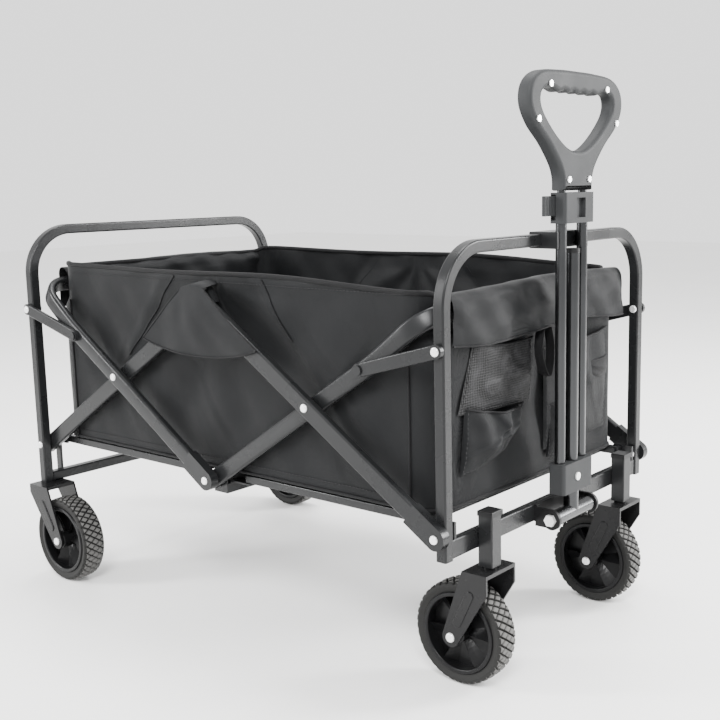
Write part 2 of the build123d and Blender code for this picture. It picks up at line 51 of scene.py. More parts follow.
PIVOT_TO_CROSS, CROSS_TO_HUB = 0.255, 0.244
TILT = math.acos(BAR_RUN / BAR_LENGTH)
PIVOT_Z = 0.223
CROSS_Z = PIVOT_Z + PIVOT_TO_CROSS * math.sin(TILT)
HUB_Z = CROSS_Z - CROSS_TO_HUB * math.sin(TILT)
RAIL_DX = 0.024
RAIL_Z = 0.493
WHEEL_R = 0.070
WALL_Y = 0.2335
WALL_DX = 0.022
WALL_LOW = 0.2405
WALL_TOP = 0.5265


# ---- materials ----
def new_material(name):
    mat = bpy.data.materials.new(name)
    mat.use_nodes = True
    nodes, links = mat.node_tree.nodes, mat.node_tree.links
    return mat, nodes, links, nodes["Principled BSDF"]


def noise(nodes, links, scale, detail=4.0, rough=0.55):
    coords = nodes.new("ShaderNodeTexCoord")
    tex = nodes.new("ShaderNodeTexNoise")
    tex.inputs["Scale"].default_value = scale
    tex.inputs["Detail"].default_value = detail
    tex.inputs["Roughness"].default_value = rough
    links.new(coords.outputs["Object"], tex.inputs["Vector"])
    return tex


def spread(nodes, links, source, low, high):
    ramp = nodes.new("ShaderNodeMapRange")
    ramp.inputs["From Min"].default_value = 0.3
    ramp.inputs["From Max"].default_value = 0.7
    ramp.inputs["To Min"].default_value = low
    ramp.inputs["To Max"].default_value = high
    links.new(source, ramp.inputs["Value"])
    return ramp.outputs["Result"]


def tint(nodes, links, source, dark, light):
    mix = nodes.new("ShaderNodeMix")
    mix.data_type = "RGBA"
    mix.inputs["A"].default_value = (*dark, 1)
    mix.inputs["B"].default_value = (*light, 1)
    links.new(source, mix.inputs["Factor"])
    return mix.outputs["Result"]


def add_bump(nodes, links, shader, height, strength, distance, before=None):
    bump = nodes.new("ShaderNodeBump")
    bump.inputs["Strength"].default_value = strength
    bump.inputs["Distance"].default_value = distance
    links.new(height, bump.inputs["Height"])
    if before is not None:
        links.new(before, bump.inputs["Normal"])
    links.new(bump.outputs["Normal"], shader.inputs["Normal"])
    return bump.outputs["Normal"]


def coated(name, dark, light, rough, metallic, grain=900.0, depth=0.00012, gloss=0.5):
    """Painted metal or moulded plastic with fine grain and faint wear."""
    mat, nodes, links, shader = new_material(name)
    shader.inputs["Metallic"].default_value = metallic
    shader.inputs["Specular IOR Level"].default_value = gloss
    broad = noise(nodes, links, 14.0, 6.0, 0.6)
    links.new(tint(nodes, links, broad.outputs["Fac"], dark, light), shader.inputs["Base Color"])
    wear = spread(nodes, links, broad.outputs["Fac"], rough - 0.06, rough + 0.08)
    links.new(wear, shader.inputs["Roughness"])
    fine = noise(nodes, links, grain, 3.0)
    add_bump(nodes, links, shader, fine.outputs["Fac"], 0.35, depth)
    return mat


def woven(name, dark, light, thread=1500.0, depth=0.0002, crease=0.006):
    """Coated woven cloth: crossed threads, broad creases and a soft sheen."""
    mat, nodes, links, shader = new_material(name)
    shader.inputs["Sheen Weight"].default_value = 0.025
    shader.inputs["Sheen Roughness"].default_value = 0.4
    shader.inputs["Specular IOR Level"].default_value = 0.11
    coords = nodes.new("ShaderNodeTexCoord")
    warp = nodes.new("ShaderNodeTexWave")
    weft = nodes.new("ShaderNodeTexWave")
    warp.bands_direction, weft.bands_direction = "X", "Z"
    for wave in (warp, weft):
        wave.inputs["Scale"].default_value = thread
        wave.inputs["Distortion"].default_value = 1.2
        links.new(coords.outputs["Object"], wave.inputs["Vector"])
    cross = nodes.new("ShaderNodeMath")
    cross.operation = "MULTIPLY"
    links.new(warp.outputs["Fac"], cross.inputs[0])
    links.new(weft.outputs["Fac"], cross.inputs[1])
    broad = noise(nodes, links, 9.0, 8.0, 0.62)
    links.new(tint(nodes, links, broad.outputs["Fac"], dark, light), shader.inputs["Base Color"])
    links.new(spread(nodes, links, broad.outputs["Fac"], 0.42, 0.62), shader.inputs["Roughness"])
    ridged = nodes.new("ShaderNodeTexNoise")
    ridged.noise_type = "RIDGED_MULTIFRACTAL"
    ridged.inputs["Scale"].default_value = 7.0
    ridged.inputs["Detail"].default_value = 3.0
    ridged.inputs["Roughness"].default_value = 0.35
    ridged.inputs["Distortion"].default_value = 0.6
    links.new(coords.outputs["Object"], ridged.inputs["Vector"])
    folds = noise(nodes, links, 26.0, 3.0, 0.5)
    first = add_bump(nodes, links, shader, ridged.outputs["Fac"], 0.30, crease)
    second = add_bump(nodes, links, shader, folds.outputs["Fac"], 0.22, 0.004, first)
    add_bump(nodes, links, shader, cross.outputs["Value"], 0.5, depth, second)
    return mat


def netting(name):
    """Open mesh cloth as a solid sheet: round holes painted near-black (the black wall behind plus painted
    shade in the holes), lighter threads between them; the holes are also bumped deeper.
    """
    mat, nodes, links, shader = new_material(name)
    coords = nodes.new("ShaderNodeTexCoord")
    cells = nodes.new("ShaderNodeTexVoronoi")
    cells.inputs["Scale"].default_value = 300.0
    cells.inputs["Randomness"].default_value = 0.12
    links.new(coords.outputs["Object"], cells.inputs["Vector"])
    # Mask of the round holes, which carry the painted shade.
    hole_shade_mask = spread(nodes, links, cells.outputs["Distance"], 0.0, 1.0)
    # Painted shade: holes near-black, threads lighter.
    shade = tint(nodes, links, hole_shade_mask, (0.001, 0.001, 0.001), (0.016, 0.016, 0.017))
    links.new(shade, shader.inputs["Base Color"])
    shader.inputs["Roughness"].default_value = 0.55
    shader.inputs["Specular IOR Level"].default_value = 0.15
    add_bump(nodes, links, shader, cells.outputs["Distance"], 0.8, 0.0012)
    return mat


MAT = {
    "frame": coated("powder_coat", (0.0075, 0.0078, 0.0082), (0.0125, 0.0129, 0.0135),
                    0.27, 0.10, gloss=0.19),
    "tube": coated("gloss_tube", (0.034, 0.035, 0.036), (0.050, 0.051, 0.053), 0.20, 0.9, 500.0, 0.00001),
    "grip": coated("grip_plastic", (0.019, 0.0198, 0.0206), (0.028, 0.029, 0.030),
                   0.52, 0.0, 700.0, 0.00008, 0.12),
    "fork": coated("fork_enamel", (0.005, 0.005, 0.0052), (0.009, 0.009, 0.0094),
                   0.26, 0.0, 600.0, 0.00004, 0.16),
    "black": coated("black_plastic", (0.004, 0.004, 0.0043), (0.008, 0.008, 0.0084), 0.40, 0.0, gloss=0.18),
    "hub": coated("hub_plastic", (0.0025, 0.0025, 0.0028), (0.006, 0.006, 0.0063), 0.32, 0.0, gloss=0.14),
    "rubber": coated("tyre_rubber", (0.009, 0.009, 0.0088), (0.018, 0.0178, 0.0172),
                     0.62, 0.0, 350.0, 0.0003, 0.12),
    "tread": coated("tyre_tread", (0.045, 0.0445, 0.043), (0.125, 0.123, 0.119),
                    0.70, 0.0, 260.0, 0.0004, 0.15),
    "zinc": coated("bright_zinc", (0.72, 0.72, 0.72), (0.85, 0.85, 0.85), 0.28, 0.6, 300.0, 0.00004),
    "cloth": woven("oxford_cloth", (0.0030, 0.0032, 0.0035), (0.0068, 0.0072, 0.0079)),
    "inner": woven("inner_cloth", (0.0026, 0.0026, 0.0030), (0.0056, 0.0058, 0.0062)),
    "trim": woven("binding_tape", (0.0028, 0.0028, 0.0031), (0.0060, 0.0060, 0.0066), 900.0, 0.0004, 0.002),
    "thread": coated("sewing_thread", (0.014, 0.014, 0.015), (0.028, 0.028, 0.029),
                     0.6, 0.0, 900.0, 0.0001, 0.15),
    "mesh": netting("pocket_mesh"),
}


# ---- mesh helpers ----
def grid_object(name, points, kind, body, wrap_u=False, wrap_v=False):
    """Smooth quad surface from an array of points (u, v, 3)."""
    nu, nv = points.shape[:2]
    faces = []
    for i in range(nu if wrap_u else nu - 1):
        for j in range(nv if wrap_v else nv - 1):
            a, b = i * nv + j, ((i + 1) % nu) * nv + j
            c, d = ((i + 1) % nu) * nv + (j + 1) % nv, i * nv + (j + 1) % nv
            faces.append((a, b, c, d))
    mesh = bpy.data.meshes.new(name)
    mesh.from_pydata([tuple(map(float, p)) for p in points.reshape(-1, 3)], [], faces)
    mesh.polygons.foreach_set("use_smooth", [True] * len(mesh.polygons))
    mesh.update()
    return place(name, mesh, kind, body)


def place(name, data, kind, body):
    obj = bpy.data.objects.new(name, data)
    bpy.context.scene.collection.objects.link(obj)
    data.materials.append(MAT[kind])
    if body:
        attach(obj, body)
    return obj


def smoothstep(a, b, x):
    t = np.clip((x - a) / (b - a), 0, 1)
    return t * t * (3 - 2 * t)


def rounded_section(width, height, radius, steps=4):
    """Rounded rectangle as points (width axis, height axis), counter-clockwise."""
    out = []
    for cx, cy, start in ((1, 1, 0), (-1, 1, 90), (-1, -1, 180), (1, -1, 270)):
        for k in range(steps + 1):
            a = math.radians(start + 90 * k / steps)
            x = cx * (width / 2 - radius) + radius * math.cos(a)
            y = cy * (height / 2 - radius) + radius * math.sin(a)
            out.append((x, y))
    return np.array(out)


def sweep_object(name, path, normal, section, kind, body, caps=True):
    """Section swept along a path; the section's first axis stays along normal."""
    path = np.asarray(path, float)
    tangents = np.gradient(path, axis=0)
    tangents /= np.linalg.norm(tangents, axis=1)[:, None]
    normals = np.broadcast_to(np.asarray(normal, float), path.shape).copy()
    normals -= (normals * tangents).sum(1)[:, None] * tangents
    normals /= np.linalg.norm(normals, axis=1)[:, None]
    sides = np.cross(tangents, normals)
    pts = path[:, None] + normals[:, None] * section[None, :, :1] + sides[:, None] * section[None, :, 1:]
    obj = grid_object(name, pts, kind, body, wrap_v=True)
    if caps:
        mesh = obj.data
        ring, total = len(section), len(path) * len(section)
        faces = [tuple(p.vertices) for p in mesh.polygons]
        faces += [tuple(range(ring))[::-1], tuple(range(total - ring, total))]
        points = [tuple(v.co) for v in mesh.vertices]
        mesh.clear_geometry()
        mesh.from_pydata(points, [], faces)
        mesh.polygons.foreach_set("use_smooth", [True] * (len(faces) - 2) + [False] * 2)
        mesh.update()
    return obj


def tube_object(name, path, radius, kind, body, flat=1.0):
    angles = np.linspace(0, 2 * np.pi, 12, endpoint=False)
    section = np.stack([radius * np.cos(angles), radius * flat * np.sin(angles)], 1)
    return sweep_object(name, path, (0.02, 0.03, 1.0), section, kind, body)


def catmull(points, closed=True, steps=10):
    """Smooth curve through points."""
    pts = np.asarray(points, float)
    n, out = len(pts), []
    for i in range(n if closed else n - 1):
        p0, p1 = pts[(i - 1) % n], pts[i]
        p2, p3 = pts[(i + 1) % n], pts[(i + 2) % n]
        if not closed:
            p0, p3 = pts[max(i - 1, 0)], pts[min(i + 2, n - 1)]
        for t in np.linspace(0, 1, steps, endpoint=False):
            a = 2 * p1 + (p2 - p0) * t + (2 * p0 - 5 * p1 + 4 * p2 - p3) * t**2
            out.append((a + (3 * p1 - p0 - 3 * p2 + p3) * t**3) / 2)
    if not closed:
        out.append(pts[-1])
    return np.array(out)


# ---- CAD nodes that stay: finish and soft edges ----
KEEP = {
    "frame": ["rear_frame_tube", "rear_crossbar", "front_frame_tube", "front_crossbar",
              "caster_sockets", "front_floor_brackets", "rear_floor_brackets", "long_bars_front",
              "long_bars_rear", "rear_links", "front_links", "hub_beam", "floor_frame_rear",
              "floor_frame_front", "rail_clip", "front_foot_sleeves", "hub_sleeves"],
    "fork": ["rear_forks", "caster_fork_right", "caster_fork_left"],
    "tube": ["handle_stem", "handle_side_tubes", "handle_inner_rods"],
    "grip": ["handle_collar", "handle_bracket", "handle_lever"],
    "black": ["caster_socket_caps", "handle_yoke", "handle_stem_cap", "hub_beam_pad"],
    "zinc": ["rear_axles", "rear_frame_rivets", "front_frame_rivets", "front_bar_rivets", "rear_cross_rivets",
             "hub_rivets", "handle_pivot_bolt", "handle_bracket_rivet", "grip_screws", "caster_axle_right",
             "caster_axle_left"],
}
for kind, names in KEEP.items():
    for node_name in names:
        node = NODES[node_name]
        node.data.materials.clear()
        node.data.materials.append(MAT[kind])
        bevel = node.modifiers.new("soft_edges", "BEVEL")
        bevel.width = 0.0008
        bevel.segments = 2
        bevel.limit_method = "ANGLE"
        bevel.angle_limit = math.radians(40)
        bevel.harden_normals = False


# ---- scissor rail bars: flat tube bent across the top ----
def rail_bar(name, end_x, way, layer, body, node):
    y_mid = (layer[0] + layer[1]) / 2
    along = np.array([-way * math.cos(TILT), 0, math.sin(TILT)])
    normal = np.array([way * math.sin(TILT), 0, math.cos(TILT)])
    hub = np.array([MID_X, 0, HUB_Z])
    rail = np.array([end_x + way * RAIL_DX, 0, RAIL_Z])
    reach = float((rail - hub) @ along)
    lift = float((rail - hub) @ normal)
    bend = 0.045
    start = 0.022 if way > 0 else -0.0115
    path = []
    for s in np.linspace(start, reach - bend, 30, endpoint=False):
        path.append((s, -y_mid))
    for a in np.linspace(0, math.pi / 2, 14):
        path.append((reach - bend + bend * math.sin(a), -y_mid + bend * (1 - math.cos(a))))
    half = path + [(s, -y) for s, y in reversed(path)]
    pts = []
    for s, y in half:
        raise_by = lift * float(smoothstep(reach - 0.12, reach, s))
        pts.append(hub + along * s + normal * raise_by + np.array([0, y, 0]))
    obj = sweep_object(name, pts, normal, rounded_section(0.025, 0.012, 0.0042), "frame", body)
    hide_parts(node)


rail_bar("rail_bar_rear_bent", REAR_X, 1, (0.256, 0.268), "rear_rail_bars", "rail_bar_rear")
rail_bar("rail_bar_front_bent", FRONT_X, -1, (0.2397, 0.2517), "front_rail_bars", "rail_bar_front")


# ---- wheels ----
def tyre_mesh(name, x, y, body, node):
    """Tyre as one lathed surface, its tread cut by two sets of slanting grooves."""
    half = 0.019
    turns, blocks = 420, 38
    slant, groove_depth = 0.72, 0.0032
    profile = []
    for t in np.linspace(0, 1, 9):
        profile.append((-half + 0.003 * (1 - t), 0.0552 + 0.0078 * t))
    for a in np.linspace(0.15, math.pi / 2, 6):
        profile.append((-half + 0.006 * (1 - math.cos(a)), 0.063 + 0.0062 * math.sin(a)))
    for t in np.linspace(-1, 1, 37)[1:-1]:
        profile.append((t * (half - 0.006), 0.0692 + 0.0008 * (1 - t * t)))
    left = [(-w, r) for w, r in reversed(profile[:15])]
    profile = np.array(profile + left)
    theta = np.linspace(0, 2 * np.pi, turns, endpoint=False)
    w, r = profile[:, 0], profile[:, 1]
    arc = theta[:, None] * WHEEL_R
    pitch = 2 * np.pi * WHEEL_R / blocks
    g1 = np.abs(((arc + w[None] * slant) / pitch + 0.5) % 1 - 0.5)
    g2 = np.abs(((arc - w[None] * slant) / pitch + 0.5) % 1 - 0.5)
    groove = 1 - smoothstep(0.08, 0.14, np.minimum(g1, g2))
    tread = smoothstep(0.0662, 0.0686, r)[None]
    radius = r[None] - groove_depth * groove * tread
    pts = np.stack([x + radius * np.cos(theta)[:, None], y + w[None] + 0 * arc,
                    WHEEL_R + radius * np.sin(theta)[:, None]], 2)
    obj = grid_object(name, pts, "rubber", body, wrap_u=True)
    obj.data.materials.append(MAT["tread"])
    block = ((1 - groove) * tread > 0.6)[:, :-1]
    obj.data.polygons.foreach_set("material_index", block.astype(int).ravel())
    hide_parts(node)


def hub_mesh(name, x, y, body, node):
    """Lathed rim and boss with six broad twisted vanes, as one object."""
    verts, faces = [], []

    def lathe(profile, steps=72):
        base = len(verts)
        n = len(profile)
        for i in range(steps):
            a = 2 * math.pi * i / steps
            for w, r in profile:
                verts.append((x + r * math.cos(a), y + w, WHEEL_R + r * math.sin(a)))
        for i in range(steps):
            for j in range(n):
                k, m = (i + 1) % steps, (j + 1) % n
                faces.append((base + i * n + j, base + k * n + j, base + k * n + m, base + i * n + m))

    lathe([(-0.0175, 0.0492), (-0.0185, 0.0505), (-0.0185, 0.0545), (-0.0165, 0.0556),
           (0.0165, 0.0556), (0.0185, 0.0545), (0.0185, 0.0505), (0.0175, 0.0492)])
    lathe([(-0.021, 0.0045), (-0.021, 0.0105), (-0.0195, 0.0125),
           (0.0195, 0.0125), (0.021, 0.0105), (0.021, 0.0045)])
    lathe([(-0.0015, 0.0110), (-0.0015, 0.050), (0.0015, 0.050), (0.0015, 0.0110)])
    for i in range(6):
        centre = math.radians(60 * i + 18)
        base = len(verts)
        rows, cols = 7, 5
        for layer in (-1, 1):
            for p in range(rows):
                r = 0.0115 + (0.0495 - 0.0115) * p / (rows - 1)
                spread_angle = math.radians(19 + 3 * p / (rows - 1)) * (1.25 - 0.35 * p / (rows - 1))
                for q in range(cols):
                    t = -1 + 2 * q / (cols - 1)
                    a = centre + t * spread_angle
                    w = 0.0105 * t * (0.75 + 0.25 * p / (rows - 1)) + layer * 0.0014
                    verts.append((x + r * math.cos(a), y + w, WHEEL_R + r * math.sin(a)))
        count = rows * cols
        for layer in (0, 1):
            for p in range(rows - 1):
                for q in range(cols - 1):
                    a = base + layer * count + p * cols + q
                    quad = (a, a + 1, a + cols + 1, a + cols)
                    faces.append(quad if layer else quad[::-1])
        for p in range(rows - 1):
            for q in (0, cols - 1):
                a = base + p * cols + q
                faces.append((a, a + cols, a + cols + count, a + count))
    mesh = bpy.data.meshes.new(name)
    mesh.from_pydata(verts, [], faces)
    mesh.update()
    obj = place(name, mesh, "hub", body)
    bevel = obj.modifiers.new("soft_edges", "BEVEL")
    bevel.width = 0.0006
    bevel.segments = 2
    bevel.limit_method = "ANGLE"
    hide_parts(node)


for end, axle_x, wheel_y in (("rear", REAR_X + 0.058, 0.260), ("front", FRONT_X - 0.023, 0.175)):
    for hand, sign in (("right", -1), ("left", 1)):
        which, side_y = f"{end}_{hand}", sign * wheel_y
        tyre_mesh(f"tread_{which}", axle_x, side_y, f"wheel_{which}", f"tyre_{which}")
        hub_mesh(f"vanes_{which}", axle_x, side_y, f"wheel_{which}", f"wheel_hub_{which}")


# ---- grip ----
def grip():
    """Grip shell: outline and hole as (y, z) in millimetres, filled and rounded."""
    x = FRONT_X + 0.031
    rounding = 0.0062
    side = [(38, 638.5), (39, 655), (48, 672), (72, 697), (102, 721),
            (118, 746), (114, 771), (90, 787), (44, 791), (0, 791.5)]
    outer = side + [(-y, z) for y, z in reversed(side[:-1])]
    outer_curve = catmull(outer, closed=False, steps=8)
    hole = [(0, 690), (17, 691.5), (37, 700), (61, 716), (83, 736), (91, 751), (86, 763), (68, 767.5)]
    scallops = [(y, 763 + 2.6 * (i % 2)) for i, y in enumerate((48, 36, 24, 12, 0, -12, -24, -36, -48))]
    hole += scallops + [(-y, z) for y, z in reversed(hole[1:])]
    hole_curve = catmull(hole, steps=6)
    curve = bpy.data.curves.new("grip_shells", "CURVE")
    curve.dimensions = "2D"
    curve.fill_mode = "BOTH"
    curve.extrude = 0.0045
    curve.bevel_depth = rounding
    curve.bevel_resolution = 5
    curve.offset = -rounding
    for pts in (outer_curve, hole_curve):
        spline = curve.splines.new("POLY")
        spline.points.add(len(pts) - 1)
        spline.use_cyclic_u = True
        for point, (y, z) in zip(spline.points, pts):
            point.co = (y / 1000, z / 1000, 0, 1)
    temp = bpy.data.objects.new("grip_outline", curve)
    bpy.context.scene.collection.objects.link(temp)
    bpy.context.view_layer.update()
    mesh = bpy.data.meshes.new_from_object(temp.evaluated_get(bpy.context.evaluated_depsgraph_get()))
    bpy.data.objects.remove(temp)
    mesh.transform(Matrix(((0, 0, 1, x), (1, 0, 0, 0), (0, 1, 0, 0), (0, 0, 0, 1))))
    mesh.polygons.foreach_set("use_smooth", [True] * len(mesh.polygons))
    mesh.materials.clear()
    obj = place("grip_shells", mesh, "grip", "grip_slide")
    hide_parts("grip")


grip()


# ---- basket ----
CORNER = 0.040
HALF_X = (FRONT_X - REAR_X) / 2 - WALL_DX


def outline(count_long=150, count_short=80, count_arc=14):
    """Plan of the basket: points (x, y) and outward normals."""
    pts, nrm = [], []
    bx, by = HALF_X - CORNER, WALL_Y - CORNER
    runs = [((-bx, -WALL_Y), (bx, -WALL_Y), (0, -1), count_long),
            ((HALF_X, -by), (HALF_X, by), (1, 0), count_short),
            ((bx, WALL_Y), (-bx, WALL_Y), (0, 1), count_long),
            ((-HALF_X, by), (-HALF_X, -by), (-1, 0), count_short)]
    centres = [(bx, -by, -90), (bx, by, 0), (-bx, by, 90), (-bx, -by, 180)]
    for (a, b, n, count), (cx, cy, start) in zip(runs, centres):
        for t in np.linspace(0, 1, count, endpoint=False):
            pts.append((a[0] + (b[0] - a[0]) * t, a[1] + (b[1] - a[1]) * t))
            nrm.append(n)
        for t in np.linspace(0, 1, count_arc, endpoint=False):
            ang = math.radians(start + 90 * t)
            pts.append((cx + CORNER * math.cos(ang), cy + CORNER * math.sin(ang)))
            nrm.append((math.cos(ang), math.sin(ang)))
    return np.array(pts), np.array(nrm)


def ridge(across, width):
    """Cross-section of a crease: steep on one side, soft on the other."""
    return np.where(across > 0, np.exp(-((across / width) ** 2)), np.exp(-((across / (3.2 * width)) ** 2)))


# Each crease: centre along the wall, lowest z, lean, height.
SIDE_CREASES = ((-0.30, 0.26, 0.07, 0.14), (0.02, 0.27, -0.10, 0.13), (0.17, 0.30, 0.11, 0.15),
                (0.24, 0.25, -0.05, 0.12), (-0.20, 0.28, -0.09, 0.15), (0.30, 0.33, -0.12, 0.11))
END_CREASES = ((-0.17, 0.25, 0.06, 0.10), (-0.02, 0.26, -0.05, 0.12), (0.10, 0.245, 0.05, 0.05),
               (0.03, 0.30, 0.07, 0.12))
CREASE_WIDTH = 0.0075


def crease_depth(along, z, rows, height):
    """Sum of leaning creases that fade out at both ends."""
    total = 0.0
    for centre, low, lean, tall in rows:
        t = (z - low) / tall
        crease = height * ridge(along - centre - lean * t, CREASE_WIDTH)
        total = total + crease * smoothstep(-0.15, 0.25, t) * (1 - smoothstep(0.7, 1.2, t))
    return total


def folds(x, y, z, facing_y):
    """Depth of the creases, positive outward."""
    apex = 0.512 - z
    angle = np.arctan2(x, np.maximum(apex, 0.012))
    reach = np.hypot(x, apex)
    fan = 0.0042 * np.cos(angle * 9 + 0.6) * np.exp(-((reach - 0.12) / 0.11) ** 2)
    up = np.clip((z - WALL_LOW) / (WALL_TOP - WALL_LOW), 0, 1)
    sag = -0.006 * np.sin(np.pi * up) * (0.6 + 0.4 * np.cos(x * 9))
    drift = 0.0022 * np.sin(31 * x + 17 * z) + 0.0015 * np.sin(-47 * x + 39 * z + 1.3)
    drift = drift + 0.0012 * np.sin(83 * x + 60 * z)
    rising = smoothstep(0.25, 0.30, z)
    diagonal = 0.0030 * np.exp(-((x - 0.10 - 0.9 * (0.50 - z)) / 0.010) ** 2) * rising
    diagonal += 0.0026 * np.exp(-((x + 0.13 + 0.75 * (0.50 - z)) / 0.012) ** 2) * rising
    ends = 0.0022 * np.sin(52 * y + 11 * z) + 0.0016 * np.sin(23 * y - 61 * z)
    creases = crease_depth(x, z, SIDE_CREASES, 0.0032)
    end_creases = crease_depth(y, z, END_CREASES, 0.0034)
    near_corner = smoothstep(HALF_X - 0.11, HALF_X - 0.03, np.abs(x))
    side = (fan + sag + drift + diagonal + creases) * (1 - 0.9 * near_corner)
    flat_edge = 1 - 0.9 * smoothstep(WALL_Y - 0.08, WALL_Y - 0.03, np.abs(y))
    end = -0.004 * np.sin(np.pi * np.clip((z - WALL_LOW) / 0.24, 0, 1)) + ends + end_creases
    return np.where(facing_y, side, end * flat_edge)


plan, normals = outline()
top = WALL_TOP - 0.008 * smoothstep(0.08, HALF_X, plan[:, 0])
top = top - 0.006 * smoothstep(HALF_X - 0.012, HALF_X, np.abs(plan[:, 0]))
tuck_y = 0.0035 * smoothstep(HALF_X - 0.050, HALF_X - 0.030, np.abs(plan[:, 0]))
rows = np.linspace(0, 1, 60)
DEEPEST, PROUDEST = -0.012, 0.0035
wall = np.zeros((len(plan), len(rows), 3))
for j, v in enumerate(rows):
    z = WALL_LOW + (top - WALL_LOW) * v
    edge = math.sin(math.pi * min(max(v, 0.0), 1.0)) ** 0.35
    depth = folds(plan[:, 0], plan[:, 1], z, np.abs(normals[:, 1]) > 0.7) * edge
    depth = np.clip(depth, DEEPEST, PROUDEST)
    tuck = smoothstep(0.455, 0.475, z)
    inward = 0.012 * tuck * smoothstep(HALF_X - 0.045, HALF_X, np.abs(plan[:, 0]))
    wall[:, j, 0] = MID_X + plan[:, 0] + normals[:, 0] * depth - np.sign(plan[:, 0]) * inward
    wall[:, j, 1] = plan[:, 1] + normals[:, 1] * depth - np.sign(plan[:, 1]) * tuck_y * tuck
    wall[:, j, 2] = z + 0.0015 * v * np.sin(plan[:, 0] * 12)
wall_obj = grid_object("basket_walls", wall, "cloth", "basket", wrap_u=True)
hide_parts("basket_shell")

nx, ny = 60, 34
gx, gy = np.meshgrid(np.linspace(-HALF_X, HALF_X, nx), np.linspace(-WALL_Y, WALL_Y, ny), indexing="ij")
past_x = np.maximum(np.abs(gx) - HALF_X + CORNER, 0)
past_y = np.maximum(np.abs(gy) - WALL_Y + CORNER, 0)
pull = np.minimum(1, (CORNER - 0.0003) / np.maximum(np.hypot(past_x, past_y), 1e-6))
gx -= np.sign(gx) * past_x * (1 - pull)
gy -= np.sign(gy) * past_y * (1 - pull)
gz = 0.2412 + 0.0012 * (1 + np.sin(gx * 27) * np.sin(gy * 19 + gx * 9))
floor_obj = grid_object("basket_floor", np.stack([MID_X + gx, gy, gz], 2), "inner", "basket")

rim = np.concatenate([wall[:, -1], wall[:1, -1]])
trims = [tube_object("top_binding", rim, 0.0036, "trim", "basket", 0.55)]


def on_side_wall(x, z, sign):
    """Point on the outer face of a side wall, a hair outside the cloth."""
    v = (z - WALL_LOW) / (WALL_TOP - WALL_LOW)
    edge = max(math.sin(math.pi * min(max(v, 0.0), 1.0)), 0.0) ** 0.35
    depth = float(folds(np.array(x), np.array(sign * WALL_Y), z, np.array(True)))
    return (MID_X + x, sign * (WALL_Y + min(max(depth * edge, DEEPEST), PROUDEST) + 0.0008), z)


def side_seam(name, start, end, sign, radius=0.0011):
    """Sewn ridge running straight across a side wall between two (x, z) points."""
    path = [on_side_wall(start[0] + (end[0] - start[0]) * t, start[1] + (end[1] - start[1]) * t, sign)
            for t in np.linspace(0, 1, 40)]
    trims.append(tube_object(name, path, radius, "trim", "basket"))


def stitches(name, lines, pitch=0.0062, length=0.0040):
    """Row of short raised stitches along each line, as one object."""
    verts, faces = [], []
    for line in lines:
        pts = np.asarray(line, float)
        run = np.concatenate([[0], np.cumsum(np.linalg.norm(np.diff(pts, axis=0), axis=1))])
        for at in np.arange(0.004, run[-1] - length, pitch):
            a, b = (np.array([np.interp(d, run, pts[:, k]) for k in range(3)]) for d in (at, at + length))
            along = (b - a) / np.linalg.norm(b - a)
            side = np.cross(along, (0.3, 0.5, 0.81))
            side /= np.linalg.norm(side)
            lift = np.cross(along, side)
            base = len(verts)
            for end, scale in ((a, 0.6), ((a + b) / 2, 1.0), (b, 0.6)):
                for k in range(5):
                    ang = 2 * math.pi * k / 5
                    verts.append(tuple(end + 0.0007 * scale * (side * math.cos(ang) + lift * math.sin(ang))))
            for ring in (0, 5):
                for k in range(5):
                    m = (k + 1) % 5
                    faces.append((base + ring + k, base + ring + m, base + ring + m + 5, base + ring + k + 5))
            faces.append(tuple(base + k for k in range(5))[::-1])
            faces.append(tuple(base + 10 + k for k in range(5)))
    mesh = bpy.data.meshes.new(name)
    mesh.from_pydata(verts, [], faces)
    mesh.polygons.foreach_set("use_smooth", [True] * len(mesh.polygons))
    mesh.update()
    return place(name, mesh, "thread", "basket")


lines = []
for hand, sign in (("right", -1), ("left", 1)):
    side_seam(f"pleat_seam_front_{hand}", (0.098, 0.522), (0.152, 0.440), sign)
    side_seam(f"pleat_seam_rear_{hand}", (-0.088, 0.520), (-0.205, 0.392), sign)
    side_seam(f"corner_seam_front_{hand}", (HALF_X - 0.042, 0.470), (HALF_X - 0.042, 0.244), sign, 0.0016)
    side_seam(f"corner_seam_rear_{hand}", (0.042 - HALF_X, 0.470), (0.042 - HALF_X, 0.244), sign, 0.0016)
    for z in (0.5150, 0.2540):
        lines.append([on_side_wall(x, z, sign) for x in np.linspace(0.05 - HALF_X, HALF_X - 0.05, 260)])
trims.append(stitches("wall_stitches", lines))
low = np.concatenate([wall[:, 0], wall[:1, 0]]) + np.array([0, 0, 0.001])
trims.append(tube_object("bottom_piping", low, 0.0026, "trim", "basket"))


